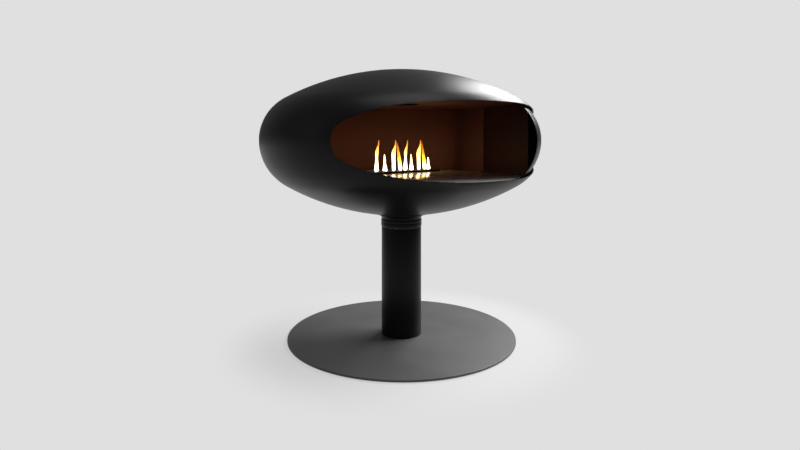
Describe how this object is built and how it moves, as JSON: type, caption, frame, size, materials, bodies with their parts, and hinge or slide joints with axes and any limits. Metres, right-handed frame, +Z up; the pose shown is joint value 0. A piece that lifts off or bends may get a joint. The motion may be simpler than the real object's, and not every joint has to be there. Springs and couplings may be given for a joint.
{
  "type": "freestanding fireplace",
  "caption": "Round dished steel pod fireplace with a wide side opening, sliding curved screen and ethanol burner, on a swivel column with a round base.",
  "frame": {"origin": "on the floor, on the axis of the column", "axes": "+Z up, -Y towards the viewer of the picture, +X to the right"},
  "size_m": [0.9099, 0.8921, 0.8759],
  "materials": {
    "painted_steel": "satin black heat-resistant paint",
    "lining_paint": "matt dark heat-resistant paint",
    "stainless": "brushed, near mirror",
    "machined_steel": "turned",
    "bearing_plastic": "moulded",
    "pad_rubber": "matt",
    "ceramic_fibre": "fibrous"
  },
  "bodies": {
    "stand": {"base_plate": "painted_steel", "base_pads": "pad_rubber", "foot_ring": "machined_steel", "foot_screws": "machined_steel", "column_tube": "painted_steel", "upper_bearing_block": "machined_steel", "lower_bearing_block": "machined_steel", "swivel_bushes": "bearing_plastic", "thrust_washer": "bearing_plastic"},
    "pod": {"swivel_spindle": "machined_steel", "spindle_nut": "machined_steel", "swivel_collar": "painted_steel", "neck_flare": "painted_steel", "mount_plate": "machined_steel", "pod_bolts": "machined_steel", "lower_shell": "painted_steel", "upper_shell": "painted_steel", "lower_track": "stainless", "upper_track": "stainless", "hearth_posts": "machined_steel", "hearth_plate": "stainless", "back_wall": "lining_paint", "side_wall": "lining_paint", "firebox_roof": "lining_paint", "burner_tray": "stainless", "ceramic_wool": "ceramic_fibre", "burner_frame": "stainless", "lid_rails": "lining_paint"},
    "screen": {"sliding_screen": "painted_steel", "lower_glides": "bearing_plastic", "upper_glides": "bearing_plastic"},
    "lid": {"burner_lid": "stainless"}
  },
  "joints": [
    {"name": "pod_swivel", "type": "hinge", "parent": "stand", "child": "pod", "pos_m": [0, 0, 0.36], "axis": [0, 0, 1], "continuous": true},
    {"name": "screen_turn", "type": "hinge", "parent": "pod", "child": "screen", "pos_m": [0, 0, 0.646], "axis": [0, 0, 1], "range_deg": [-91, 46]},
    {"name": "lid_slide", "type": "slide", "parent": "pod", "child": "lid", "axis": [0.7604, 0.6494, 0], "range_m": [0, 0.278]}
  ]
}
